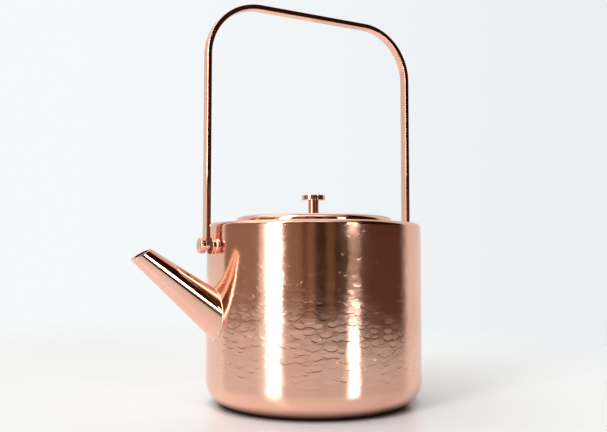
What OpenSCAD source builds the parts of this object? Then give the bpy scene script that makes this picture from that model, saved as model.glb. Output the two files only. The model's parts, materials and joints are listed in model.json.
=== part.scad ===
// Hammered copper kettle with a straight soldered spout, a lift-off lid and a swinging flat-bar handle.
// Frame: millimetres, +Z up, origin at the centre of the underside, the spout points along -X.
// The handle swings about the X axis line at height pivot_z and stands upright at rest.

/* [Body] */
// Outer diameter of the body
body_d = 150; // [130:1:170]
// Height of the flat top above the table
body_h = 123; // [115:1:140]
// Thickness of the copper sheet
sheet = 1.2; // [0.8:0.1:1.6]
// Radius of the rounded corner at the base
base_r = 16; // [10:1:20]
// Radius of the rounded edge at the shoulder
shoulder_r = 3; // [2:0.1:3.2]

/* [Neck and lid] */
// Diameter of the hole in the flat top
neck_d = 100; // [80:1:102]
// Outer diameter of the lid
lid_d = 110; // [106:1:120]
// Height of the lid above the flat top
lid_h = 4.8; // [4:0.1:8]
// Radius of the rounded edge of the lid
lid_edge_r = 3.4; // [2:0.1:3.8]
// Depth of the skirt that holds the lid in the neck
skirt_depth = 11; // [8:0.5:16]

/* [Knob] */
// Diameter of the knob's disc
knob_d = 16.7; // [12:0.1:24]
// Thickness of the knob's disc
knob_t = 3.6; // [3:0.1:6]
// Diameter of the knob's stem
stem_d = 7.6; // [6:0.1:10]
// Length of the stem between the lid and the disc
stem_h = 12.3; // [8:0.1:20]

/* [Spout] */
// Distance of the spout's mouth from the kettle's axis
spout_reach = 124; // [110:1:135]
// Height of the middle of the mouth
spout_z = 101.5; // [95:0.5:110]
// Rise of the spout above level, in degrees
spout_rise = 37.5; // [34:0.5:42]
// Outer diameter at the mouth
spout_tip_d = 13.2; // [11:0.1:16]
// Growth in radius for each millimetre towards the body
spout_flare = 0.111; // [0.09:0.001:0.12]
// Thickness of the spout's sheet
spout_wall = 1.8; // [1:0.1:2]
// Rise of the direction that the mouth faces, in degrees
mouth_tilt = 60; // [40:1:75]

/* [Handle] */
// Distance from the kettle's axis to the middle of each leg
leg_x = 80; // [79.9:0.1:82]
// Width of the flat bar
bar_w = 6.4; // [6:0.1:9]
// Thickness of the flat bar
bar_t = 3.5; // [2.6:0.1:3.6]
// Height of the top of the handle
bail_top = 274; // [250:0.5:290]
// Radius of the handle's two bends, to the middle of the bar
bend_r = 37.6; // [30:0.2:55]

/* [Pivots] */
// Height of the handle's hinge axis
pivot_z = 107.3; // [100:0.1:110]
// Diameter of the shoulder that the leg turns on
pivot_d = 3.8; // [3.4:0.1:4.2]
// Radial clearance of the leg on that shoulder
running_gap = 0.05; // [0.02:0.01:0.09]
// Diameter of the post that carries the pivot
boss_d = 12; // [11:0.1:13]
// Diameter of the pivot screw's head
head_d = 10.5; // [9.5:0.1:12]
// Height of the pivot screw's head
head_h = 4.1; // [3:0.1:5]

/* [Hidden] */
$fn = 96;

copper = "#d98e73";
solder = "#b9a79c";
brass = "#b98f5e";
fibre = "#3a2a25";

body_r = body_d / 2;
inner_r = body_r - sheet;
seam_z = body_h - shoulder_r;
spigot_depth = 4;
solder_leg = 1;

// The collar stands in the neck hole and is soldered by a flange under the flat top
collar_r = neck_d / 2;
collar_depth = 10;
collar_rise = 1.2;
collar_flange = 2;

// The lid rests on the flat top; its skirt drops inside the collar
rest_gap = 0.1;
skirt_gap = 0.4;
lid_r = lid_d / 2;
lid_base_z = body_h + rest_gap;
lid_top_z = body_h + rest_gap + lid_h;
lid_under_z = lid_top_z - sheet;
skirt_r = collar_r - sheet - skirt_gap;

// The knob screws down through the lid
stud_d = 4;
stud_reach = 5.2;
knob_z = lid_top_z + stem_h;
tenon_d = 5;
tenon_h = 2.2;
knob_washer_d = 14;
knob_washer_t = 1;
nut_width = 7;
nut_h = 3;

// Stations along the hinge axis, as distances from the kettle's axis
float_gap = 0.1;
washer_t = 0.5;
leg_in = leg_x - bar_t / 2;
leg_out = leg_x + bar_t / 2;
washer_in = leg_in - float_gap - washer_t;
head_in = leg_out + float_gap;
head_out = head_in + head_h;
thread_d = 3;
thread_gap = 0.05;
thread_end = inner_r - 0.4;
boss_end = inner_r - 1.6;
spigot_d = 8;
rove_d = 14;
rove_t = 0.8;
clench_d = 10;

// Strainer holes through the wall behind the spout
strainer_hole_d = 3.4;
strainer_pitch = 5;
strainer_half_w = 9.6;
strainer_half_h = 12.6;

eps = 0.01;
far = 200;

// Radius of the spout's outside, at a distance back from the middle of the mouth
function spout_r(back) = spout_tip_d / 2 + spout_flare * back;
spout_back = 80;
spout_ahead = 15;
root_back = (spout_reach - body_r) / cos(spout_rise);
root_z = spout_z - root_back * sin(spout_rise);

// Moves children from the +X side to the spout side, or leaves them on the far side
module on_side(front) {
    mirror([front ? 1 : 0, 0, 0]) children();
}

// Lays a cylinder along the hinge axis, from one station to another
module axle(from_x, to_x, d) {
    translate([from_x, 0, pivot_z])
        rotate([0, 90, 0])
            cylinder(d = d, h = to_x - from_x);
}

// Half outline of a disc with one rounded corner at its lower outer edge
module rounded_half(r, h, corner) {
    intersection() {
        square([r, h]);
        union() {
            square([r - corner, h]);
            translate([0, corner])
                square([r, h]);
            translate([r - corner, corner])
                circle(corner);
        }
    }
}

// A ring with a rectangular section
module ring(r_in, r_out, z_low, z_high) {
    translate([0, 0, z_low])
        difference() {
            cylinder(r = r_out, h = z_high - z_low);
            translate([0, 0, -eps])
                cylinder(r = r_in, h = z_high - z_low + 2 * eps);
        }
}

module body_solid(r) {
    cylinder(r = r, h = far);
}

module body_shell() {
    color(copper)
        difference() {
            rotate_extrude()
                difference() {
                    rounded_half(body_r, seam_z, base_r);
                    translate([0, sheet])
                        rounded_half(inner_r, seam_z, base_r - sheet);
                }
            strainer_holes();
            for (front = [true, false])
                on_side(front)
                    axle(inner_r - 5, body_r + 5, spigot_d);
        }
}

// Holes on a staggered grid, kept inside an oval that the spout covers
module strainer_holes() {
    for (row = [-2 : 2], col = [-2 : 2]) {
        y = (col + (row % 2 == 0 ? 0 : 0.5)) * strainer_pitch;
        z = row * strainer_pitch * sin(60);
        if (pow(y / strainer_half_w, 2) + pow(z / strainer_half_h, 2) < 1.3)
            translate([-body_r - 5, y, root_z + z])
                rotate([0, 90, 0])
                    cylinder(d = strainer_hole_d, h = 12);
    }
}

// The flat top turns down over the wall in a small round and has a short spigot inside it
module top_plate() {
    color(copper)
        difference() {
            rotate_extrude()
                difference() {
                    union() {
                        translate([0, seam_z - spigot_depth])
                            square([inner_r, spigot_depth + eps]);
                        translate([0, body_h])
                            mirror([0, 1])
                                rounded_half(body_r, shoulder_r, shoulder_r);
                    }
                    translate([0, seam_z - spigot_depth - 1])
                        square([inner_r - sheet, body_h - sheet - seam_z + spigot_depth + 1]);
                }
            translate([0, 0, body_h - 5])
                cylinder(r = collar_r, h = 10);
        }
}

// A fillet of solder in an inside corner, made as a triangle turned about the axis
module solder_ring(r, z, toward_axis, upward) {
    dr = toward_axis ? -solder_leg : solder_leg;
    dz = upward ? solder_leg : -solder_leg;
    rotate_extrude()
        polygon([[r, z], [r + dr, z], [r, z + dz]]);
}

module shoulder_solder() {
    color(solder)
        solder_ring(inner_r, seam_z - spigot_depth, true, false);
}

module neck_collar() {
    color(copper) {
        ring(collar_r - sheet, collar_r, body_h - collar_depth, body_h + collar_rise);
        ring(collar_r - eps, collar_r + collar_flange, body_h - 2 * sheet, body_h - sheet);
    }
}

module neck_solder() {
    color(solder)
        solder_ring(collar_r + collar_flange, body_h - sheet, false, false);
}

// Puts children in the spout's own frame: origin in the mouth, +Z out along the spout
module at_mouth(tilt) {
    translate([-spout_reach, 0, spout_z])
        rotate([0, tilt - 90, 0])
            children();
}

// The spout's cone, made thicker or thinner by grow, and not yet trimmed
module spout_cone(grow) {
    at_mouth(spout_rise)
        translate([0, 0, -spout_back])
            cylinder(
                r1 = spout_r(spout_back) + grow,
                r2 = spout_r(-spout_ahead) + grow,
                h = spout_back + spout_ahead
            );
}

module spout_tube() {
    color(copper)
        difference() {
            spout_cone(0);
            spout_cone(-spout_wall);
            body_solid(body_r);
            at_mouth(mouth_tilt)
                translate([-40, -40, 0])
                    cube([80, 80, 40]);
        }
}

// The bead that runs round the root of the spout on the wall
module spout_solder() {
    color(solder)
        difference() {
            intersection() {
                spout_cone(solder_leg * 0.8);
                body_solid(body_r + solder_leg * 0.7);
            }
            body_solid(body_r);
            spout_cone(0);
        }
}

// A turned post with a spigot through the wall, clenched inside and tapped from outside
module boss(front) {
    color(copper)
        on_side(front)
            difference() {
                union() {
                    difference() {
                        axle(body_r - 5, washer_in, boss_d);
                        body_solid(body_r);
                    }
                    axle(boss_end + 0.5, body_r, spigot_d);
                    intersection() {
                        axle(boss_end, inner_r, clench_d);
                        body_solid(inner_r - rove_t);
                    }
                }
                axle(thread_end, washer_in + 1, thread_d + 2 * thread_gap);
            }
}

// The bead that runs round the foot of a post on the wall
module boss_solder(front) {
    color(solder)
        on_side(front)
            difference() {
                intersection() {
                    axle(body_r - 2, body_r + 3, boss_d + 1.6 * solder_leg);
                    body_solid(body_r + solder_leg * 0.7);
                }
                body_solid(body_r);
                axle(body_r - 3, body_r + 4, boss_d);
            }
}

// A curved washer inside the wall that the spigot is clenched over
module rove(front) {
    color(copper)
        on_side(front)
            difference() {
                intersection() {
                    axle(inner_r - 3, inner_r + 1, rove_d);
                    body_solid(inner_r);
                }
                body_solid(inner_r - rove_t);
                axle(inner_r - 5, inner_r + 1, spigot_d);
            }
}

module pivot_washer(front) {
    color(fibre)
        on_side(front)
            difference() {
                axle(washer_in, washer_in + washer_t, boss_d - 1);
                axle(washer_in - 1, leg_in + 1, pivot_d + 2 * running_gap);
            }
}

// A domed head, a plain shoulder for the leg and a thread into the post
module pivot_screw(front) {
    dome_r = 1.5;
    color(copper)
        on_side(front) {
            axle(thread_end + 0.3, washer_in, thread_d);
            axle(washer_in - eps, head_in, pivot_d);
            translate([head_out, 0, pivot_z])
                rotate([0, -90, 0])
                    rotate_extrude()
                        rounded_half(head_d / 2, head_h, dome_r);
        }
}

// Outline of an arch with two rounded upper corners, standing on the hinge axis
module arch(half_w, top, corner) {
    translate([-half_w, pivot_z])
        square([2 * half_w, top - corner - pivot_z]);
    translate([corner - half_w, top - corner - eps])
        square([2 * (half_w - corner), corner + eps]);
    for (side = [-1, 1])
        translate([side * (half_w - corner), top - corner])
            circle(corner);
}

module handle_bail() {
    color(copper)
        difference() {
            union() {
                rotate([90, 0, 0])
                    linear_extrude(bar_w, center = true)
                        difference() {
                            arch(leg_out, bail_top, bend_r + bar_t / 2);
                            arch(leg_in, bail_top - bar_t, bend_r - bar_t / 2);
                        }
                for (front = [true, false])
                    on_side(front)
                        axle(leg_in, leg_out, bar_w);
            }
            for (front = [true, false])
                on_side(front)
                    axle(leg_in - 1, leg_out + 1, pivot_d + 2 * running_gap);
        }
}

// The lid's cover is a shallow cap, open below
module lid_cover() {
    color(copper)
        difference() {
            translate([0, 0, lid_top_z])
                mirror([0, 0, 1])
                    rotate_extrude()
                        difference() {
                            rounded_half(lid_r, lid_h, lid_edge_r);
                            translate([0, sheet])
                                rounded_half(lid_r - sheet, lid_h, lid_edge_r - sheet);
                        }
            translate([0, 0, lid_under_z - 1])
                cylinder(d = stud_d + 0.2, h = sheet + 2);
        }
}

module lid_skirt() {
    color(copper)
        ring(skirt_r - sheet, skirt_r, body_h - skirt_depth, lid_under_z);
}

module lid_solder() {
    color(solder)
        solder_ring(skirt_r - sheet, lid_under_z, true, false);
}

// A flat disc with a softened rim and a blind hole for the stem's tenon
module knob_disc() {
    color(copper)
        translate([0, 0, knob_z])
            difference() {
                union() {
                    rotate_extrude()
                        rounded_half(knob_d / 2, knob_t / 2, 0.4);
                    translate([0, 0, knob_t])
                        mirror([0, 0, 1])
                            rotate_extrude()
                                rounded_half(knob_d / 2, knob_t / 2, 0.4);
                }
                translate([0, 0, -1])
                    cylinder(d = tenon_d, h = tenon_h + 1);
            }
}

module knob_stem() {
    color(copper) {
        translate([0, 0, lid_top_z])
            cylinder(d = stem_d, h = stem_h);
        translate([0, 0, knob_z - eps])
            cylinder(d = tenon_d - 2 * thread_gap, h = tenon_h);
        translate([0, 0, lid_top_z - stud_reach])
            cylinder(d = stud_d, h = stud_reach + eps);
    }
}

module knob_washer() {
    color(brass)
        ring(stud_d / 2 + 0.1, knob_washer_d / 2, lid_under_z - knob_washer_t, lid_under_z);
}

module knob_nut() {
    color(brass)
        translate([0, 0, lid_under_z - knob_washer_t - nut_h])
            difference() {
                cylinder(d = nut_width / cos(30), h = nut_h, $fn = 6);
                translate([0, 0, -1])
                    cylinder(d = stud_d + 2 * thread_gap, h = nut_h + 2);
            }
}

body_shell();
top_plate();
shoulder_solder();
neck_collar();
neck_solder();
spout_tube();
spout_solder();
boss(true);  // front_boss
boss(false);  // rear_boss
boss_solder(true);  // front_boss_solder
boss_solder(false);  // rear_boss_solder
rove(true);  // front_rove
rove(false);  // rear_rove
pivot_washer(true);  // front_pivot_washer
pivot_washer(false);  // rear_pivot_washer
pivot_screw(true);  // front_pivot_screw
pivot_screw(false);  // rear_pivot_screw
handle_bail();
lid_cover();
lid_skirt();
lid_solder();
knob_disc();
knob_stem();
knob_washer();
knob_nut();
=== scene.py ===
"""Hammered copper kettle: the visible pieces, their materials, and a plain studio around them."""

import json
import math

import bmesh
import bpy
import numpy as np
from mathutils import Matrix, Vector


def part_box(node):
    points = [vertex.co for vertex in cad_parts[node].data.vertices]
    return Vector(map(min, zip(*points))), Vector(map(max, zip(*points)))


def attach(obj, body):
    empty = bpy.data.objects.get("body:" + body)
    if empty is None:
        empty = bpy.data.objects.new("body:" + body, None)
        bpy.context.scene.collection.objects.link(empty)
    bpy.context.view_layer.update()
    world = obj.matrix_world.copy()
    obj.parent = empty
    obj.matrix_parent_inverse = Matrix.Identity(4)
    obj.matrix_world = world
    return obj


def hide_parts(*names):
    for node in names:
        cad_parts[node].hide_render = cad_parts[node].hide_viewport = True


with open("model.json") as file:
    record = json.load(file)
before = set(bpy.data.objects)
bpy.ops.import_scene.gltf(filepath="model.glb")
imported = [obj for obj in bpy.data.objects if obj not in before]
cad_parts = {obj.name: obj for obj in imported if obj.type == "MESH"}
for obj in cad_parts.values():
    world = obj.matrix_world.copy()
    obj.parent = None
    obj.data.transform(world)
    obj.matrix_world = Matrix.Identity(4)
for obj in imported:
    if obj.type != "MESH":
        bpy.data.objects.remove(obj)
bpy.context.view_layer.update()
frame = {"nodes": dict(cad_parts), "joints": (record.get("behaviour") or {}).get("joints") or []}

MM = 0.001

# ---------------------------------------------------------------- sizes from the frame

body_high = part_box("body_shell")[1]
top_low, top_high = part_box("top_plate")
collar_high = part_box("neck_collar")[1]
lid_low, lid_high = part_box("lid_cover")
disc_low, disc_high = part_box("knob_disc")
stem_low, stem_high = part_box("knob_stem")
bail_low, bail_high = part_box("handle_bail")
post_low, post_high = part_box("rear_boss")
ring_low, ring_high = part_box("rear_pivot_washer")
screw_low, screw_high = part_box("rear_pivot_screw")
hinge = next(j for j in frame["joints"] if j["type"] == "hinge")

BODY_R = body_high.x
SEAM_Z = body_high.z
TOP_Z = top_high.z
SHEET = 1.2 * MM
BASE_FILLET = 16 * MM
SHOULDER_FILLET = TOP_Z - SEAM_Z
COLLAR_FLANGE = 2 * MM
NECK_R = collar_high.x - COLLAR_FLANGE
PIVOT_Z = hinge["pos_m"][2]

# The spout is a straight cone, given by its mouth, its rise and its growth towards the body
MOUTH = Vector((-124 * MM, 0, 101.5 * MM))
SPOUT_RISE = math.radians(37.5)
MOUTH_TILT = math.radians(60)
SPOUT_TIP_R = 6.6 * MM
SPOUT_FLARE = 0.111
SPOUT_WALL = 1.8 * MM

# The strainer behind it: staggered holes inside an oval
STRAINER_HOLE_R = 1.7 * MM
STRAINER_PITCH = 5 * MM
STRAINER_HALF_W = 9.6 * MM
STRAINER_HALF_H = 12.6 * MM

# The handle is a flat bar, bent twice
BAR_T = 3.5 * MM
BAR_W = bail_high.y - bail_low.y
BEND_R = 37.6 * MM
LEG_X = bail_high.x - BAR_T / 2
BAIL_TOP = bail_high.z - BAR_T / 2
PIVOT_R = 1.9 * MM
PIVOT_GAP = 0.05 * MM

# Hammer marks: spacing round the wall and up it, and the depth of the strongest
MARK_PITCH_U = 7.8 * MM
MARK_PITCH_Z = 4.2 * MM
MARK_DEPTH = 0.065 * MM
# The wall is plain below the first height, fully marked from the second, and fades again from the third
PLAIN_BELOW_Z = 17 * MM
MARKED_FROM_Z = 26 * MM
FADING_FROM_Z = 70 * MM
# Broad dents under the marks
DENT_DEPTH = 0.045 * MM
# The wall leans in a little under the shoulder
TOP_LEAN = 0.12 * MM


# ---------------------------------------------------------------- mesh helpers


def make_piece(name, verts, faces, materials, body, stands_for=(), face_slots=None):
    """A smooth-shaded mesh object that rides on a body and takes its finish from a slot.

    Normals are weighted by face area, so flat faces stay flat between softened edges.
    """
    mesh = bpy.data.meshes.new(name)
    mesh.from_pydata([tuple(v) for v in verts], [], [tuple(f) for f in faces])
    for material in materials:
        mesh.materials.append(material)
    if face_slots is not None:
        mesh.polygons.foreach_set("material_index", np.asarray(face_slots, np.int32))
    tidy = bmesh.new()
    tidy.from_mesh(mesh)
    bmesh.ops.remove_doubles(tidy, verts=tidy.verts, dist=1e-8)
    bmesh.ops.recalc_face_normals(tidy, faces=tidy.faces)
    tidy.to_mesh(mesh)
    tidy.free()
    mesh.shade_smooth()
    mesh.set_sharp_from_angle(angle=math.radians(38))
    piece = bpy.data.objects.new(name, mesh)
    bpy.context.scene.collection.objects.link(piece)
    weigh = piece.modifiers.new("weigh", "WEIGHTED_NORMAL")
    weigh.keep_sharp = True
    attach(piece, body)
    if stands_for:
        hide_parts(*stands_for)
    return piece


def grid_faces(rows, columns, wrap_rows=False):
    """Quads between rings of points; the columns always close on themselves."""
    last = rows if wrap_rows else rows - 1
    i, j = np.meshgrid(np.arange(last), np.arange(columns), indexing="ij")
    down, across = (i + 1) % rows, (j + 1) % columns
    quads = [i * columns + j, i * columns + across, down * columns + across, down * columns + j]
    return np.stack([q.ravel() for q in quads], 1)


def rounded(corners, closed=False, steps=6):
    """An outline with its corners rounded. Each corner is (x, y, radius)."""
    points = []
    count = len(corners)
    for k, (x, y, radius) in enumerate(corners):
        here = np.array([x, y])
        at_end = not closed and k in (0, count - 1)
        if radius <= 0 or at_end:
            points.append(here)
            continue
        before = np.array(corners[k - 1][:2]) - here
        after = np.array(corners[(k + 1) % count][:2]) - here
        before /= np.linalg.norm(before)
        after /= np.linalg.norm(after)
        half = math.acos(max(-1, min(1, float(before @ after)))) / 2
        reach = radius / math.tan(half)
        middle = (before + after) / np.linalg.norm(before + after)
        centre = here + middle * radius / math.sin(half)
        start, end = here + before * reach - centre, here + after * reach - centre
        turn = math.pi - 2 * half
        for s in np.linspace(0, 1, steps + 1):
            a, b = math.sin((1 - s) * turn), math.sin(s * turn)
            points.append(centre + (a * start + b * end) / math.sin(turn))
    return np.array(points)


def spin(outline, segments, axis="z", closed=False):
    """Points and quads of an outline turned about Z, or about the hinge's X axis.

    The outline is made of (radius, height) pairs.
    """
    turn = np.linspace(0, 2 * math.pi, segments, endpoint=False)
    r, h = outline[:, :1], outline[:, 1:]
    a, b = r * np.cos(turn), r * np.sin(turn)
    height = np.broadcast_to(h, a.shape)
    if axis == "z":
        points = np.stack([a, b, height], -1)
    else:
        points = np.stack([height, a, b + PIVOT_Z], -1)
    return points.reshape(-1, 3), grid_faces(len(outline), segments, closed)


def mirrored(points, front):
    """Moves points from the rear side, at +X, to the spout side when front is true."""
    return points * np.array([-1 if front else 1, 1, 1])


def cut(piece, cutters):
    """Subtracts closed meshes from a piece and applies the result."""
    piece.modifiers.clear()
    for cutter in cutters:
        step = piece.modifiers.new("cut", "BOOLEAN")
        step.operation = "DIFFERENCE"
        step.solver = "MANIFOLD"
        step.object = cutter
    depsgraph = bpy.context.evaluated_depsgraph_get()
    result = bpy.data.meshes.new_from_object(piece.evaluated_get(depsgraph))
    piece.modifiers.clear()
    piece.data = result
    piece.modifiers.new("weigh", "WEIGHTED_NORMAL").keep_sharp = True
    for cutter in cutters:
        bpy.data.objects.remove(cutter)


def drill(centres, radius, x_from, x_to, segments=32):
    """A cutter of round bars along X, one at each (y, z) centre."""
    build = bmesh.new()
    for y, z in centres:
        made = bmesh.ops.create_cone(
            build, cap_ends=True, segments=segments, radius1=radius, radius2=radius, depth=x_to - x_from
        )
        for v in made["verts"]:
            v.co = Vector((v.co.z + (x_from + x_to) / 2, v.co.x + y, v.co.y + z))
    bmesh.ops.recalc_face_normals(build, faces=build.faces)
    mesh = bpy.data.meshes.new("drill")
    build.to_mesh(mesh)
    build.free()
    cutter = bpy.data.objects.new("drill", mesh)
    bpy.context.scene.collection.objects.link(cutter)
    return cutter


def smoothstep(x, low, high):
    """0 below low and 1 above high, with a smooth step between them."""
    t = np.clip((x - low) / (high - low), 0, 1)
    return t * t * (3 - 2 * t)


# ---------------------------------------------------------------- materials


class Nodes:
    """A small builder for node trees."""

    def __init__(self, tree):
        self.tree = tree
        tree.nodes.clear()

    def add(self, kind, **inputs):
        """Adds a node. A keyword sets the input of that name, or an attribute if it starts with _."""
        node = self.tree.nodes.new(kind)
        for key, value in inputs.items():
            if key[0] == "_":
                setattr(node, key[1:], value)
            else:
                self.put(value, node.inputs[key.replace("_", " ")])
        return node

    def put(self, value, socket):
        """Links a socket's value to an input, or sets the input to a plain value."""
        if isinstance(value, bpy.types.NodeSocket):
            self.tree.links.new(value, socket)
        else:
            socket.default_value = value

    def math(self, operation, a, b=0.0):
        node = self.tree.nodes.new("ShaderNodeMath")
        node.operation = operation
        self.put(a, node.inputs[0])
        self.put(b, node.inputs[1])
        return node.outputs[0]

    def remap(self, value, from_low, from_high, to_low, to_high, smooth=False):
        node = self.tree.nodes.new("ShaderNodeMapRange")
        node.interpolation_type = "SMOOTHSTEP" if smooth else "LINEAR"
        for k, v in enumerate([value, from_low, from_high, to_low, to_high]):
            self.put(v, node.inputs[k])
        return node.outputs[0]

    def mix(self, factor, a, b):
        node = self.tree.nodes.new("ShaderNodeMix")
        node.data_type = "RGBA"
        color_a, color_b, color_out = node.inputs[6], node.inputs[7], node.outputs[2]
        self.put(factor, node.inputs[0])
        self.put(a, color_a)
        self.put(b, color_b)
        return color_out

    def noise(self, where, scale, detail=2.0, roughness=0.5):
        kind = "ShaderNodeTexNoise"
        node = self.add(kind, Vector=where, Scale=scale, Detail=detail, Roughness=roughness)
        return node.outputs["Fac"]


def new_material(name):
    material = bpy.data.materials.new(name)
    material.use_nodes = True
    return material, Nodes(material.node_tree)


def finish_metal(n, color, roughness, height, bump_depth):
    """Joins a metallic shader to its output, with a bump from a height in metres."""
    bump = n.add("ShaderNodeBump", Strength=1.0, Distance=bump_depth, Height=height)
    shader = n.add(
        "ShaderNodeBsdfPrincipled",
        Base_Color=color,
        Metallic=1.0,
        Roughness=roughness,
        Normal=bump.outputs[0],
    )
    n.add("ShaderNodeOutputMaterial", Surface=shader.outputs[0])


def hammer_marks(n, where):
    """Depth, from 0 to 1, of lapping round marks.

    Each mark is a cell of one of two overlaid layers. It deepens downwards and ends in a short step.
    """
    wandering = n.add("ShaderNodeTexNoise", Vector=where, Scale=130.0, Detail=1.0).outputs["Color"]
    reach = 2.4 * MM
    waver = n.add("ShaderNodeVectorMath", _operation="MULTIPLY_ADD")
    n.put(wandering, waver.inputs[0])
    n.put((reach, reach, reach), waver.inputs[1])
    n.put(where, waver.inputs[2])
    where = waver.outputs[0]
    depth = 0.0
    layer_shifts = (0.0, 41.3)
    for shift in layer_shifts:
        cells_at = n.add(
            "ShaderNodeMapping",
            Vector=where,
            Location=(shift, shift, shift),
            Scale=(1 / MARK_PITCH_U, 1 / MARK_PITCH_U, 1 / MARK_PITCH_Z),
        ).outputs[0]
        cells = n.add("ShaderNodeTexVoronoi", Vector=cells_at, Scale=1.0, Randomness=0.85)
        offset = n.add("ShaderNodeVectorMath", _operation="SUBTRACT")
        n.put(cells_at, offset.inputs[0])
        n.put(cells.outputs["Position"], offset.inputs[1])
        up = n.add("ShaderNodeSeparateXYZ", Vector=offset.outputs[0]).outputs["Z"]
        random = n.add("ShaderNodeSeparateColor", Color=cells.outputs["Color"]).outputs[0]
        lean = n.remap(up, -0.5, 0.35, 1.0, 0.0)
        strength = n.remap(random, 0.15, 1.0, 0.1, 1.0)
        inside = n.remap(cells.outputs["Distance"], 0.44, 0.60, 1.0, 0.0, smooth=True)
        mark = n.math("MULTIPLY", n.math("MULTIPLY", lean, strength), inside)
        depth = n.math("MAXIMUM", depth, mark)
    return depth


def copper_material(name, rough_low, rough_high, bump_depth, peel_scale, hammered=False):
    """Polished copper: slow drifts of tone, fine wiping marks and a faint orange-peel."""
    material, n = new_material(name)
    where = n.add("ShaderNodeTexCoord").outputs["Object"]
    drift = n.noise(where, 18.0, 3.0)
    tone = n.remap(drift, 0.35, 0.65, 0.0, 1.0, smooth=True)
    stretched = n.add("ShaderNodeMapping", Vector=where, Scale=(60.0, 60.0, 900.0)).outputs[0]
    wiping = n.noise(stretched, 1.0, 4.0, 0.6)
    breath = n.noise(where, 55.0, 4.0, 0.6)
    worn = n.math("ADD", n.math("MULTIPLY", wiping, 0.45), n.math("MULTIPLY", breath, 0.55))
    roughness = n.remap(worn, 0.38, 0.62, rough_low, rough_high)
    height = n.noise(where, peel_scale, 2.0)
    if hammered:
        level = n.add("ShaderNodeSeparateXYZ", Vector=where).outputs["Z"]
        lower = n.remap(level, PLAIN_BELOW_Z, MARKED_FROM_Z, 0.0, 1.0, smooth=True)
        upper = n.remap(level, FADING_FROM_Z, SEAM_Z - 4 * MM, 1.0, 0.25, smooth=True)
        marks = n.math("MULTIPLY", hammer_marks(n, where), n.math("MULTIPLY", lower, upper))
        height = n.math("SUBTRACT", n.math("MULTIPLY", height, bump_depth / MARK_DEPTH), marks)
        bump_depth = MARK_DEPTH
    finish_metal(n, n.mix(tone, COPPER_LIGHT, COPPER_DEEP), roughness, height, bump_depth)
    return material


def tin_material():
    """The tinned inside: dull silver, wiped round by hand."""
    material, n = new_material("tin_lining")
    where = n.add("ShaderNodeTexCoord").outputs["Object"]
    cloud = n.noise(where, 45.0, 4.0, 0.6)
    stretched = n.add("ShaderNodeMapping", Vector=where, Scale=(40.0, 40.0, 260.0)).outputs[0]
    wiped = n.noise(stretched, 1.0, 3.0)
    color = n.mix(n.remap(cloud, 0.35, 0.7, 0.0, 1.0), (0.66, 0.64, 0.61, 1), (0.50, 0.48, 0.46, 1))
    finish_metal(n, color, n.remap(cloud, 0.3, 0.7, 0.30, 0.48), wiped, 0.04 * MM)
    return material


def painted_shade_lining_material():
    """The inside of the spout: tin coloured a near-black brown as painted shade for the dark inside of
    the tube, in random blotches.
    """
    material, n = new_material("spout_lining")
    where = n.add("ShaderNodeTexCoord").outputs["Object"]
    blotches = n.noise(where, 140.0, 4.0, 0.6)
    # Painted shade: both colours stand for the shadow inside the tube, mixed by the blotches
    paler_painted_shade, deeper_painted_shade = (0.10, 0.062, 0.045, 1), (0.035, 0.020, 0.014, 1)
    color = n.mix(n.remap(blotches, 0.35, 0.7, 0.0, 1.0), paler_painted_shade, deeper_painted_shade)
    finish_metal(n, color, n.remap(blotches, 0.3, 0.7, 0.40, 0.60), blotches, 0.05 * MM)
    return material


def solder_material():
    """Brazed seams, buffed to almost the colour of the copper."""
    material, n = new_material("solder_seam")
    where = n.add("ShaderNodeTexCoord").outputs["Object"]
    patches = n.noise(where, 260.0, 3.0)
    color = n.mix(n.remap(patches, 0.4, 0.65, 0.0, 1.0), (0.86, 0.60, 0.46, 1), (0.74, 0.47, 0.33, 1))
    finish_metal(n, color, n.remap(patches, 0.3, 0.7, 0.12, 0.30), patches, 0.06 * MM)
    return material


def brass_material():
    """Turned brass, a little tarnished, with fine rings from the lathe."""
    material, n = new_material("turned_brass")
    where = n.add("ShaderNodeTexCoord").outputs["Object"]
    tarnish = n.noise(where, 160.0, 3.0)
    stretched = n.add("ShaderNodeMapping", Vector=where, Scale=(90.0, 90.0, 1400.0)).outputs[0]
    rings = n.noise(stretched, 1.0, 2.0)
    color = n.mix(n.remap(tarnish, 0.35, 0.7, 0.0, 1.0), (0.80, 0.62, 0.33, 1), (0.58, 0.41, 0.20, 1))
    finish_metal(n, color, n.remap(tarnish, 0.3, 0.7, 0.16, 0.34), rings, 0.02 * MM)
    return material


def fibre_material():
    """Pressed fibre washers, dark brown and matt."""
    material, n = new_material("pressed_fibre")
    where = n.add("ShaderNodeTexCoord").outputs["Object"]
    grain = n.noise(where, 900.0, 3.0, 0.7)
    color = n.mix(grain, (0.10, 0.032, 0.018, 1), (0.26, 0.090, 0.050, 1))
    bump = n.add("ShaderNodeBump", Strength=0.6, Distance=0.05 * MM, Height=grain)
    shader = n.add(
        "ShaderNodeBsdfPrincipled",
        Base_Color=color,
        Roughness=n.remap(grain, 0.3, 0.7, 0.45, 0.75),
        Normal=bump.outputs[0],
    )
    n.add("ShaderNodeOutputMaterial", Surface=shader.outputs[0])
    return material


COPPER_LIGHT = (0.900, 0.540, 0.415, 1)
COPPER_DEEP = (0.865, 0.495, 0.370, 1)
hammered_copper = copper_material(
    "hammered_copper",
    rough_low=0.10,
    rough_high=0.15,
    bump_depth=0.012 * MM,
    peel_scale=600.0,
    hammered=True,
)
polished_copper = copper_material(
    "polished_copper",
    rough_low=0.02,
    rough_high=0.05,
    bump_depth=0.003 * MM,
    peel_scale=420.0,
)
tin = tin_material()
# The spout's lining is painted dark as the shade inside the tube
spout_lining = painted_shade_lining_material()
solder = solder_material()
brass = brass_material()
fibre = fibre_material()


# ---------------------------------------------------------------- body


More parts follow.
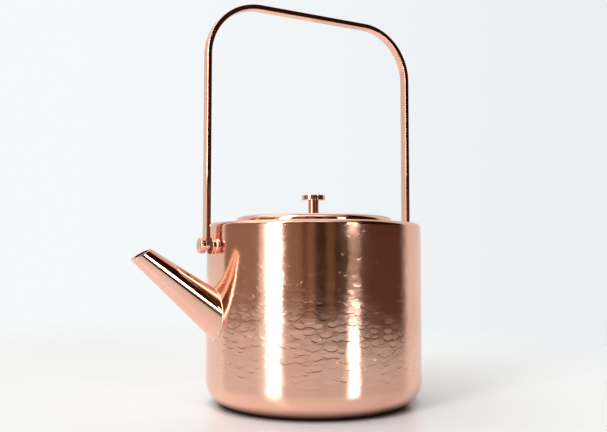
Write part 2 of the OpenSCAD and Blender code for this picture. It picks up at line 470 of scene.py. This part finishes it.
def broad_dents(angles, heights):
    """Depth of the broad, shallow dents that planishing leaves all over the wall."""
    rng = np.random.default_rng(7)
    depth = np.zeros((len(heights), len(angles)))
    dent_count = 900
    for _ in range(dent_count):
        turn, z = rng.uniform(0, 2 * math.pi), rng.uniform(heights[0], heights[-1])
        half_w, half_h = rng.uniform(4, 8) * MM, rng.uniform(4, 9) * MM
        across = np.angle(np.exp(1j * (angles - turn))) * BODY_R / half_w
        up = (heights - z) / half_h
        bowl = np.clip(1 - across[None, :] ** 2 - up[:, None] ** 2, 0, 1) ** 2
        depth = np.maximum(depth, bowl * rng.uniform(0.3, 1.0) * DENT_DEPTH)
    return depth


def make_body():
    """The hammered cup: fine rings on the outside of the wall, plain ones on the base and inside."""
    segments, ring_step = 360, 0.9 * MM
    wall_z = np.arange(BASE_FILLET + ring_step, SEAM_Z - 1.5 * MM, ring_step)
    wall_z = np.append(wall_z, [SEAM_Z - 0.8 * MM, SEAM_Z])
    inner_r, inner_base = BODY_R - SHEET, SHEET
    base = rounded(
        [(0, 0, 0), (BODY_R, 0, BASE_FILLET), (BODY_R, BASE_FILLET + 1 * MM, 0)], steps=14
    )[:-1]
    middle = np.array([[r, 0] for r in (20 * MM, 40 * MM, 52 * MM)])
    base = np.concatenate([base[:1], middle, base[1:]])
    wall = np.stack([np.full(len(wall_z), BODY_R), wall_z], 1)
    inside = rounded(
        [(inner_r, SEAM_Z, 0), (inner_r, inner_base, BASE_FILLET - SHEET), (0, inner_base, 0)], steps=8
    )
    levels = np.array([[inner_r, z] for z in (SEAM_Z, 100 * MM, 80 * MM, 55 * MM, 35 * MM)])
    outline = np.concatenate([base, wall, levels, inside[1:]])
    points, faces = spin(outline, segments)

    angles = np.linspace(0, 2 * math.pi, segments, endpoint=False)
    fade = smoothstep(wall_z, PLAIN_BELOW_Z, MARKED_FROM_Z) * (1 - smoothstep(wall_z, 114 * MM, SEAM_Z))
    depth = broad_dents(angles, wall_z[:-2])
    depth = np.concatenate([depth, np.zeros((2, segments))]) * fade[:, None]
    lean_in = TOP_LEAN * smoothstep(wall_z, SEAM_Z - 9 * MM, SEAM_Z + 3 * MM)
    radius = BODY_R - depth - lean_in[:, None]
    first = len(base) * segments
    wall_points = points[first : first + depth.size].reshape(*depth.shape, 3)
    wall_points[..., 0] = radius * np.cos(angles)
    wall_points[..., 1] = radius * np.sin(angles)

    inner_from = len(base) + len(wall)
    face_slots = (np.arange(len(faces)) // segments >= inner_from).astype(int)
    piece = make_piece(
        "body_wall",
        points,
        faces,
        [hammered_copper, tin],
        "kettle",
        ["body_shell"],
        face_slots,
    )
    cut(piece, [drill(strainer_centres(), STRAINER_HOLE_R, -BODY_R - 3 * MM, -BODY_R + 6 * MM)])


def strainer_centres():
    """Staggered holes inside an oval that the spout covers."""
    back = (-MOUTH.x - BODY_R) / math.cos(SPOUT_RISE)
    z_middle = MOUTH.z - back * math.sin(SPOUT_RISE)
    centres = []
    for row in range(-2, 3):
        for column in range(-2, 3):
            y = (column + (0.5 if row % 2 else 0)) * STRAINER_PITCH
            z = row * STRAINER_PITCH * math.sin(math.radians(60))
            if (y / STRAINER_HALF_W) ** 2 + (z / STRAINER_HALF_H) ** 2 < 1.3:
                centres.append((y, z_middle + z))
    return centres


def make_top():
    """The flat top: a small round at the shoulder, a spigot inside the wall and the neck hole."""
    inner_r = BODY_R - SHEET
    spigot_z = top_low.z
    outline = rounded(
        [
            (BODY_R - 0.6 * TOP_LEAN, SEAM_Z + 0.02 * MM, 0),
            (BODY_R - 0.8 * TOP_LEAN, TOP_Z, SHOULDER_FILLET * 0.95),
            (NECK_R, TOP_Z, 0.3 * MM),
            (NECK_R, TOP_Z - SHEET, 0),
            (inner_r - SHEET, TOP_Z - SHEET, 0.6 * MM),
            (inner_r - SHEET, spigot_z, 0.2 * MM),
            (inner_r, spigot_z, 0.2 * MM),
            (inner_r, SEAM_Z + 0.02 * MM, 0),
        ],
        closed=True,
        steps=8,
    )
    segments = 320
    points, faces = spin(outline, segments, closed=True)
    under = (outline[:, 1] < TOP_Z - 0.9 * SHEET) & (outline[:, 0] < BODY_R - 0.5 * MM)
    under = np.repeat(under, segments)
    face_slots = [int(all(under[f])) for f in faces]
    make_piece(
        "flat_top",
        points,
        faces,
        [polished_copper, tin],
        "kettle",
        ["top_plate"],
        face_slots,
    )


# ---------------------------------------------------------------- spout

SPOUT_OUT = Vector((-math.cos(SPOUT_RISE), 0, math.sin(SPOUT_RISE)))
SPOUT_UP = Vector((math.sin(SPOUT_RISE), 0, math.cos(SPOUT_RISE)))
MOUTH_NORMAL = Vector((-math.cos(MOUTH_TILT), 0, math.sin(MOUTH_TILT)))


def spout_ray(turn):
    """The direction out of the spout's axis at this turn round it."""
    return Vector((0, math.cos(turn), 0)) + SPOUT_UP * math.sin(turn)


def spout_point(turn, back, grow):
    """A point on the cone, a distance back from the mouth's middle, grown outwards by grow."""
    return MOUTH - SPOUT_OUT * back + spout_ray(turn) * (SPOUT_TIP_R + grow + SPOUT_FLARE * back)


def back_to_mouth(turn, grow):
    """How far back the slanted cut crosses the cone at this turn; negative is ahead of the middle."""
    g = spout_ray(turn).dot(MOUTH_NORMAL)
    return (SPOUT_TIP_R + grow) * g / (SPOUT_OUT.dot(MOUTH_NORMAL) - SPOUT_FLARE * g)


def back_to_wall(turn, grow, wall_r):
    """How far back the cone meets a cylinder about the kettle's axis."""
    start = MOUTH + spout_ray(turn) * (SPOUT_TIP_R + grow)
    step = -SPOUT_OUT + spout_ray(turn) * SPOUT_FLARE
    a = step.x**2 + step.y**2
    b = 2 * (start.x * step.x + start.y * step.y)
    c = start.x**2 + start.y**2 - wall_r**2
    return (-b - math.sqrt(b * b - 4 * a * c)) / (2 * a)


def make_spout():
    """The cone, outside then inside, with a softened lip where it is cut at a slant."""
    segments = 160
    turns = np.linspace(0, 2 * math.pi, segments, endpoint=False)
    root_r = BODY_R - 0.15 * MM
    lip = 0.5 * MM

    def ring(share, grow):
        """A ring that lies a share of the way from the mouth to the wall."""
        return [
            spout_point(
                t, back_to_mouth(t, grow) * (1 - share) + back_to_wall(t, grow, root_r) * share, grow
            )
            for t in turns
        ]

    def lip_ring(grow, inward):
        """A ring that lies a fixed distance inside the slanted cut."""
        return [spout_point(t, back_to_mouth(t, grow) + inward, grow) for t in turns]

    shares = np.linspace(0.012, 1, 22)
    rings = [ring(s, 0) for s in shares[::-1]]
    rings += [lip_ring(0, lip * 0.7), lip_ring(-0.06 * MM, lip * 0.25), lip_ring(-lip, 0)]
    rings += [lip_ring(lip - SPOUT_WALL, 0), lip_ring(0.06 * MM - SPOUT_WALL, lip * 0.25)]
    outer_rings = len(rings)
    rings += [ring(s, -SPOUT_WALL) for s in shares]
    points = np.array([tuple(p) for r in rings for p in r])
    faces = grid_faces(len(rings), segments, wrap_rows=True)
    face_slots = (np.arange(len(faces)) // segments >= outer_rings).astype(int)
    make_piece(
        "spout_cone",
        points,
        faces,
        [polished_copper, spout_lining],
        "kettle",
        ["spout_tube"],
        face_slots,
    )


# A seam's section has this many points along its face, and one more behind it
BEAD_FACE_POINTS = 6


def bead_sections(edge, foot, corner, turns, seed):
    """Points of a hollow fillet: from edge to foot, curving in towards corner, and closed behind it."""
    rng = np.random.default_rng(seed)
    waves = [(k, rng.uniform(0, 2 * math.pi), rng.uniform(0.02, 0.07)) for k in (3, 5, 8, 13, 21)]
    rings = [[] for _ in range(BEAD_FACE_POINTS + 1)]
    for t in turns:
        grow = 1 + sum(size * math.sin(k * t + phase) for k, phase, size in waves)
        a, b, c = edge(t, grow), foot(t, grow), corner(t)
        for k, s in enumerate(np.linspace(0, 1, BEAD_FACE_POINTS)):
            rings[k].append(a * (1 - s) ** 2 + c * 2 * s * (1 - s) + b * s * s)
        rings[-1].append(c - (a + b - 2 * c) * 0.15)
    return np.array([tuple(p) for r in rings for p in r])


def make_bead(name, edge, foot, corner, stands_for, seed):
    """A seam of solder all the way round a joint, slightly uneven as it flowed."""
    segments = 120
    turns = np.linspace(0, 2 * math.pi, segments, endpoint=False)
    points = bead_sections(edge, foot, corner, turns, seed)
    faces = grid_faces(BEAD_FACE_POINTS + 1, segments, wrap_rows=True)
    make_piece(name, points, faces, [solder], "kettle", [stands_for])


def make_spout_bead():
    """The seam round the root of the spout."""
    size = 0.75 * MM

    def edge(t, grow):
        return spout_point(t, back_to_wall(t, 0, BODY_R) - size * grow, 0.01 * MM)

    def foot(t, grow):
        return spout_point(t, back_to_wall(t, size * grow, BODY_R + 0.01 * MM), size * grow)

    def corner(t):
        return spout_point(t, back_to_wall(t, 0, BODY_R), 0.1 * MM)

    make_bead("spout_seam", edge, foot, corner, "spout_solder", 11)


# ---------------------------------------------------------------- pivots

POST_R = (post_high.y - post_low.y) / 2
PIVOT_SEGMENTS = 96


def wall_point(t, radius, out, front):
    """A point over the wall, at a radius round the hinge axis, lifted off the wall by out."""
    y, z = radius * math.cos(t), radius * math.sin(t)
    x = math.sqrt(BODY_R**2 - y * y) + out
    return Vector((-x if front else x, y, PIVOT_Z + z))


def make_post(side, front):
    """A turned post with a spigot through the wall."""
    spigot_r = 4 * MM
    spigot_end = post_low.x + 1 * MM
    foot = BODY_R - 0.6 * MM
    outline = rounded(
        [
            (0, spigot_end, 0),
            (spigot_r, spigot_end, 0.2 * MM),
            (spigot_r, foot, 0),
            (POST_R, foot, 0),
            (POST_R, post_high.x, 0.45 * MM),
            (0, post_high.x, 0),
        ]
    )
    points, faces = spin(outline, PIVOT_SEGMENTS, axis="x")
    points = mirrored(points, front)
    make_piece(
        f"{side}_post",
        points,
        faces,
        [polished_copper],
        "kettle",
        [f"{side}_boss"],
    )


def make_post_bead(side, front):
    """The seam where the post meets the round wall."""
    size = 0.7 * MM

    def edge(t, grow):
        return wall_point(t, POST_R + 0.01 * MM, size * grow, front)

    def foot(t, grow):
        return wall_point(t, POST_R + size * grow, 0.01 * MM, front)

    def corner(t):
        return wall_point(t, POST_R + 0.05 * MM, 0.05 * MM, front)

    make_bead(f"{side}_post_seam", edge, foot, corner, f"{side}_boss_solder", 21 + front)


def make_washer(side, front):
    """The fibre washer between the post and the handle's leg."""
    ring_r = (ring_high.y - ring_low.y) / 2
    bore = PIVOT_R + PIVOT_GAP
    outline = rounded(
        [
            (bore, ring_low.x, 0),
            (ring_r, ring_low.x, 0.12 * MM),
            (ring_r, ring_high.x, 0.12 * MM),
            (bore, ring_high.x, 0),
        ],
        closed=True,
        steps=3,
    )
    points, faces = spin(outline, PIVOT_SEGMENTS, axis="x", closed=True)
    points = mirrored(points, front)
    make_piece(
        f"{side}_fibre_washer", points, faces, [fibre], "kettle", [f"{side}_pivot_washer"]
    )


def make_screw(side, front):
    """A shouldered screw: its thread is in the post, its shoulder in the leg, and its head is domed."""
    thread_r = 1.5 * MM
    head_r = (screw_high.y - screw_low.y) / 2
    head_in = bail_high.x + 0.1 * MM
    head_out = screw_high.x
    outline = rounded(
        [
            (0, screw_low.x, 0),
            (thread_r, screw_low.x, 0.3 * MM),
            (thread_r, post_high.x, 0),
            (PIVOT_R, post_high.x, 0.1 * MM),
            (PIVOT_R, head_in, 0),
            (head_r, head_in, 0.25 * MM),
            (head_r, head_out - 0.6 * MM, 1.2 * MM),
            (head_r * 0.45, head_out - 0.06 * MM, 2.0 * MM),
            (0, head_out, 0),
        ],
        steps=8,
    )
    points, faces = spin(outline, PIVOT_SEGMENTS, axis="x")
    points = mirrored(points, front)
    make_piece(
        f"{side}_screw",
        points,
        faces,
        [polished_copper],
        "kettle",
        [f"{side}_pivot_screw"],
    )


def make_pivot(front):
    """Everything that carries one leg of the handle, on the spout side or opposite it."""
    side = "front" if front else "rear"
    make_post(side, front)
    make_post_bead(side, front)
    make_washer(side, front)
    make_screw(side, front)


# ---------------------------------------------------------------- handle


def bail_stations():
    """Middle line of the bar from the rear eye to the front one.

    Each station is (x, z, angle of the outward normal, half the bar's width).
    """
    half_w = BAR_W / 2
    stations = []
    for s in np.linspace(0.04, 1, 10) ** 2:
        drop = half_w * (1 - s)
        stations.append((LEG_X, PIVOT_Z - drop, 0.0, math.sqrt(half_w**2 - drop**2)))
    bend_z, bend_x = BAIL_TOP - BEND_R, LEG_X - BEND_R
    for s in np.linspace(0, 1, 24)[1:]:
        stations.append((LEG_X, PIVOT_Z + (bend_z - PIVOT_Z) * s, 0.0, half_w))
    for a in np.linspace(0, math.pi / 2, 40)[1:]:
        stations.append((bend_x + BEND_R * math.cos(a), bend_z + BEND_R * math.sin(a), a, half_w))
    for s in np.linspace(0, 0.5, 8)[1:-1]:
        stations.append((bend_x * (1 - 2 * s), BAIL_TOP, math.pi / 2, half_w))
    other = [(-x, z, math.pi - a, w) for x, z, a, w in reversed(stations)]
    return stations + [(0.0, BAIL_TOP, math.pi / 2, half_w)] + other


def make_handle():
    """A flat bar with softened edges, rounded ends and a hole in each for the pivot."""
    edge = 0.45 * MM
    half_t = BAR_T / 2
    stations = bail_stations()
    rings = []
    for x, z, a, half_w in stations:
        soft = min(edge, half_w * 0.9)
        corners = [(-half_w, -half_t), (half_w, -half_t), (half_w, half_t), (-half_w, half_t)]
        section = rounded([(*corner, soft) for corner in corners], closed=True, steps=3)
        rings.append([(x + n * math.cos(a), y, z + n * math.sin(a)) for y, n in section])
    columns = len(rings[0])
    points = [p for ring in rings for p in ring]
    faces = grid_faces(len(rings), columns).tolist()
    faces += [list(range(columns)), list(range(len(points) - columns, len(points)))]
    piece = make_piece(
        "bail_bar", points, faces, [polished_copper], "handle", ["handle_bail"]
    )
    reach = bail_high.x + 2 * MM
    cut(piece, [drill([(0, PIVOT_Z)], PIVOT_R + PIVOT_GAP, -reach, reach, 64)])


# ---------------------------------------------------------------- lid and knob


def make_lid():
    """A shallow cap of sheet with a rounded edge and a hole for the knob's stem, tinned below."""
    lid_r = lid_high.x
    base, top = lid_low.z, lid_high.z
    hole_r = 2.2 * MM
    edge_round = 3.4 * MM
    outline = rounded(
        [
            (hole_r, top, 0.1 * MM),
            (lid_r, top, edge_round),
            (lid_r, base, 0.35 * MM),
            (lid_r - SHEET, base, 0.35 * MM),
            (lid_r - SHEET, top - SHEET, edge_round - SHEET),
            (hole_r, top - SHEET, 0.1 * MM),
        ],
        closed=True,
        steps=12,
    )
    segments = 320
    points, faces = spin(outline, segments, closed=True)
    inner = (outline[:, 1] < top - 0.95 * SHEET) & (outline[:, 0] < lid_r - 0.95 * SHEET)
    inner = np.repeat(inner, segments)
    face_slots = [int(all(inner[f])) for f in faces]
    make_piece(
        "lid_cap",
        points,
        faces,
        [polished_copper, tin],
        "lid",
        ["lid_cover"],
        face_slots,
    )


def make_knob_disc():
    """The flat disc on top, with a blind hole below for the stem's tenon."""
    disc_r = (disc_high.x - disc_low.x) / 2
    hole_r = 2.5 * MM
    hole_top = disc_low.z + 2.2 * MM
    outline = rounded(
        [
            (0, hole_top, 0),
            (hole_r, hole_top, 0),
            (hole_r, disc_low.z, 0.05 * MM),
            (disc_r, disc_low.z, 0.45 * MM),
            (disc_r, disc_high.z, 0.6 * MM),
            (0, disc_high.z, 0),
        ],
        steps=6,
    )
    points, faces = spin(outline, 128)
    make_piece("knob_top", points, faces, [polished_copper], "lid", ["knob_disc"])


def make_knob_stem():
    """The round stem: a thread below it goes through the lid, a tenon above it into the disc."""
    stem_r = stem_high.x
    thread_r = 2 * MM
    tenon_r = 2.45 * MM
    outline = rounded(
        [
            (0, stem_low.z, 0),
            (thread_r, stem_low.z, 0.3 * MM),
            (thread_r, lid_high.z, 0),
            (stem_r, lid_high.z, 0.25 * MM),
            (stem_r, disc_low.z, 0.05 * MM),
            (tenon_r, disc_low.z, 0),
            (tenon_r, stem_high.z, 0.2 * MM),
            (0, stem_high.z, 0),
        ],
        steps=6,
    )
    points, faces = spin(outline, 96)
    make_piece("knob_post", points, faces, [polished_copper], "lid", ["knob_stem"])


# ---------------------------------------------------------------- inner pieces kept from the frame

INNER_FINISHES = {
    "neck_collar": polished_copper,
    "lid_skirt": polished_copper,
    "shoulder_solder": solder,
    "neck_solder": solder,
    "lid_solder": solder,
    "front_rove": polished_copper,
    "rear_rove": polished_copper,
    "knob_washer": brass,
    "knob_nut": brass,
}


def finish_inner_pieces():
    """Gives the pieces that are not remodelled the same materials as the rest."""
    for node, material in INNER_FINISHES.items():
        mesh = frame["nodes"][node].data
        mesh.materials.clear()
        mesh.materials.append(material)


# ---------------------------------------------------------------- studio

# The camera stands on the spout's side of the front, a little below the lid, and looks slightly up
CAMERA_TURN = math.radians(-28.70)
CAMERA_DISTANCE = 508.8 * MM
CAMERA_HEIGHT = 98.2 * MM
CAMERA_PITCH = math.radians(3.48)
CAMERA_YAW = math.radians(-0.80)
CAMERA_LENS = 42.55


def make_camera():
    """A camera turned round the kettle's axis, then pitched and yawed."""
    data = bpy.data.cameras.new("camera")
    data.sensor_width = 36
    data.lens = CAMERA_LENS
    camera = bpy.data.objects.new("camera", data)
    bpy.context.scene.collection.objects.link(camera)
    camera.location = (
        CAMERA_DISTANCE * math.sin(CAMERA_TURN),
        -CAMERA_DISTANCE * math.cos(CAMERA_TURN),
        CAMERA_HEIGHT,
    )
    camera.rotation_euler = (math.pi / 2 + CAMERA_PITCH, 0, CAMERA_TURN - CAMERA_YAW)
    data.clip_start, data.clip_end = 0.01, 50
    bpy.context.scene.camera = camera


FLOOR_COLOR = (0.91, 0.95, 0.985, 1)
# Painted shadow: the dark colour the table takes under the base
FLOOR_PAINTED_SHADOW = (0.10, 0.08, 0.07, 1)
# The painted contact shadow under the base fades between these distances from the kettle's axis
PAINTED_SHADOW_FADE = (62 * MM, 77 * MM)
# The table runs on further to the left and towards the camera than to the right, so it fades out
# between these distances from a middle of its own, given along the camera's right and ahead of it
TABLE_FADE = (0.32, 0.86)
TABLE_RIGHT = -0.13
TABLE_AHEAD = -0.10
TABLE_RIM = 2.2


def make_floor():
    """A pale table top with a slight gloss and a painted shadow under the base, that fades out with
    distance.
    """
    points, faces = spin(np.array([[0, 0], [0.3, 0], [TABLE_RIM, 0]]), 96)
    mesh = bpy.data.meshes.new("floor")
    mesh.from_pydata([tuple(p) for p in points], [], [tuple(f) for f in faces])
    material, n = new_material("pale_table")
    where = n.add("ShaderNodeTexCoord").outputs["Object"]
    from_axis = n.add("ShaderNodeVectorMath", _operation="LENGTH")
    n.put(where, from_axis.inputs[0])
    from_middle = n.add("ShaderNodeVectorMath", _operation="DISTANCE")
    n.put(where, from_middle.inputs[0])
    from_middle.inputs[1].default_value = (
        TABLE_RIGHT * math.cos(CAMERA_TURN) - TABLE_AHEAD * math.sin(CAMERA_TURN),
        TABLE_RIGHT * math.sin(CAMERA_TURN) + TABLE_AHEAD * math.cos(CAMERA_TURN),
        0,
    )
    gone = n.remap(from_middle.outputs["Value"], *TABLE_FADE, 0.0, 1.0, smooth=True)
    # Painted contact shadow: the table's colour darkens towards the kettle's axis
    under = n.remap(from_axis.outputs["Value"], *PAINTED_SHADOW_FADE, 1.0, 0.0, smooth=True)
    color = n.mix(under, FLOOR_COLOR, FLOOR_PAINTED_SHADOW)
    shader = n.add("ShaderNodeBsdfPrincipled", Base_Color=color, Roughness=0.22, IOR=1.45)
    clear = n.add("ShaderNodeBsdfTransparent")
    blend = n.add("ShaderNodeMixShader", Fac=gone)
    n.put(shader.outputs[0], blend.inputs[1])
    n.put(clear.outputs[0], blend.inputs[2])
    n.add("ShaderNodeOutputMaterial", Surface=blend.outputs[0])
    mesh.materials.append(material)
    floor = bpy.data.objects.new("floor", mesh)
    bpy.context.scene.collection.objects.link(floor)


# What surrounds the kettle, where each panel covers the ones before it. Turns are measured from the
# camera's side, positive to the right, and heights from the horizon, both in degrees:
# (from turn, to turn, from height, to height, softness, colour).
ROOM_WALL = (0.80, 0.78, 0.75)
ROOM_PANELS = [
    (-185, 185, 70, 95, 12, (0.62, 0.58, 0.53)),  # middle of the ceiling
    (-185, -102, -90, -1.5, 2, (0.97, 0.92, 0.85)),  # the table goes on to the left
    (-106, -57, -90, 30, 5, (0.30, 0.21, 0.145)),  # shaded wall on the left
    (-80, -33, 31, 60, 6, (1.30, 1.28, 1.22)),  # and the lit wall above it
    (-34, -12, -90, 36, 4, (0.24, 0.16, 0.10)),  # the room behind the camera
    (-13, 3, -90, 46, 3, (0.145, 0.080, 0.045)),
    (-6, 1, -90, 32, 3, (0.215, 0.145, 0.092)),
    (2, 38, -90, 40, 3, (0.046, 0.025, 0.011)),  # its dark end
    (13, 21, -90, 34, 4, (0.145, 0.095, 0.055)),
    (60, 110, -90, 36, 18, (0.10, 0.052, 0.036)),  # dark room on the right
    (46, 94, -90, 6, 3, (0.10, 0.052, 0.036)),
    (46, 106, 5, 36, 3, (0.026, 0.009, 0.006)),
    (57, 104, 30, 62, 5, (0.026, 0.009, 0.006)),
    (37, 57, 33, 50, 4, (0.45, 0.42, 0.38)),  # lintel of the right window
    (36, 46, 5, 34, 2, (0.24, 0.18, 0.12)),
    (36, 47.5, -5.6, 5, 2, (0.28, 0.25, 0.21)),  # its sill
    (-48.5, -33.5, -90, 60, 4, (8.0, 8.0, 8.0)),  # left window
    (35.5, 46.5, 6.5, 19, 1, (12.0, 12.0, 12.0)),  # right window
    (34.5, 48.5, -30, -5.4, 2, (5.0, 5.0, 5.0)),  # and its image in the table
]
CEILING = (1.65, 1.63, 1.58)
CEILING_SHADE = (0.57, 0.56, 0.545)
BACKDROP = (0.93, 0.95, 0.96)
BACKDROP_SHADE = (0.80, 0.84, 0.87)


def make_world():
    """Light from all round for the kettle, and a plain pale backdrop for the camera."""
    world = bpy.data.worlds.new("studio")
    bpy.context.scene.world = world
    world.use_nodes = True
    n = Nodes(world.node_tree)
    direction = n.add("ShaderNodeTexCoord").outputs["Generated"]
    turned = n.add("ShaderNodeVectorRotate", _rotation_type="Z_AXIS", Vector=direction)
    turned.inputs["Angle"].default_value = -CAMERA_TURN
    axes = n.add("ShaderNodeSeparateXYZ", Vector=turned.outputs[0])
    to_right = axes.outputs["X"]
    turn = n.math("ARCTAN2", to_right, n.math("MULTIPLY", axes.outputs["Y"], -1.0))
    turn = n.math("MULTIPLY", turn, 180 / math.pi)
    height = n.math("MULTIPLY", n.math("ARCSINE", axes.outputs["Z"]), 180 / math.pi)

    def band(value, low, high, soft):
        """1 between low and high, and 0 outside, with soft edges."""
        away = n.math("ABSOLUTE", n.math("SUBTRACT", value, (low + high) / 2))
        reach = (high - low) / 2
        return n.remap(away, reach - soft / 2, reach + soft / 2, 1.0, 0.0, smooth=True)

    shaded = n.remap(to_right, 0.08, 0.38, 0.0, 1.0, smooth=True)
    ceiling = n.mix(shaded, (*CEILING, 1), (*CEILING_SHADE, 1))
    overhead = n.remap(height, 36, 50, 0.0, 1.0, smooth=True)
    color = n.mix(overhead, (*ROOM_WALL, 1), ceiling)
    for turn_low, turn_high, low, high, soft, tint in ROOM_PANELS:
        inside = n.math(
            "MULTIPLY", band(turn, turn_low, turn_high, soft), band(height, low, high, soft)
        )
        color = n.mix(inside, color, (*tint, 1))
    seen = n.add("ShaderNodeLightPath").outputs["Is Camera Ray"]
    backdrop = n.mix(n.remap(to_right, -0.3, 0.5, 0.0, 1.0), (*BACKDROP, 1), (*BACKDROP_SHADE, 1))
    background = n.add("ShaderNodeBackground", Color=n.mix(seen, color, backdrop), Strength=1.0)
    n.add("ShaderNodeOutputWorld", Surface=background.outputs[0])


def set_view():
    """Plain display colours. All the light is the world's."""
    scene = bpy.context.scene
    scene.view_settings.view_transform = "Standard"
    scene.view_settings.look = "None"


# ---------------------------------------------------------------- build

make_body()
make_top()
make_spout()
make_spout_bead()
make_pivot(True)
make_pivot(False)
make_handle()
make_lid()
make_knob_disc()
make_knob_stem()
finish_inner_pieces()
make_camera()
make_floor()
make_world()
set_view()
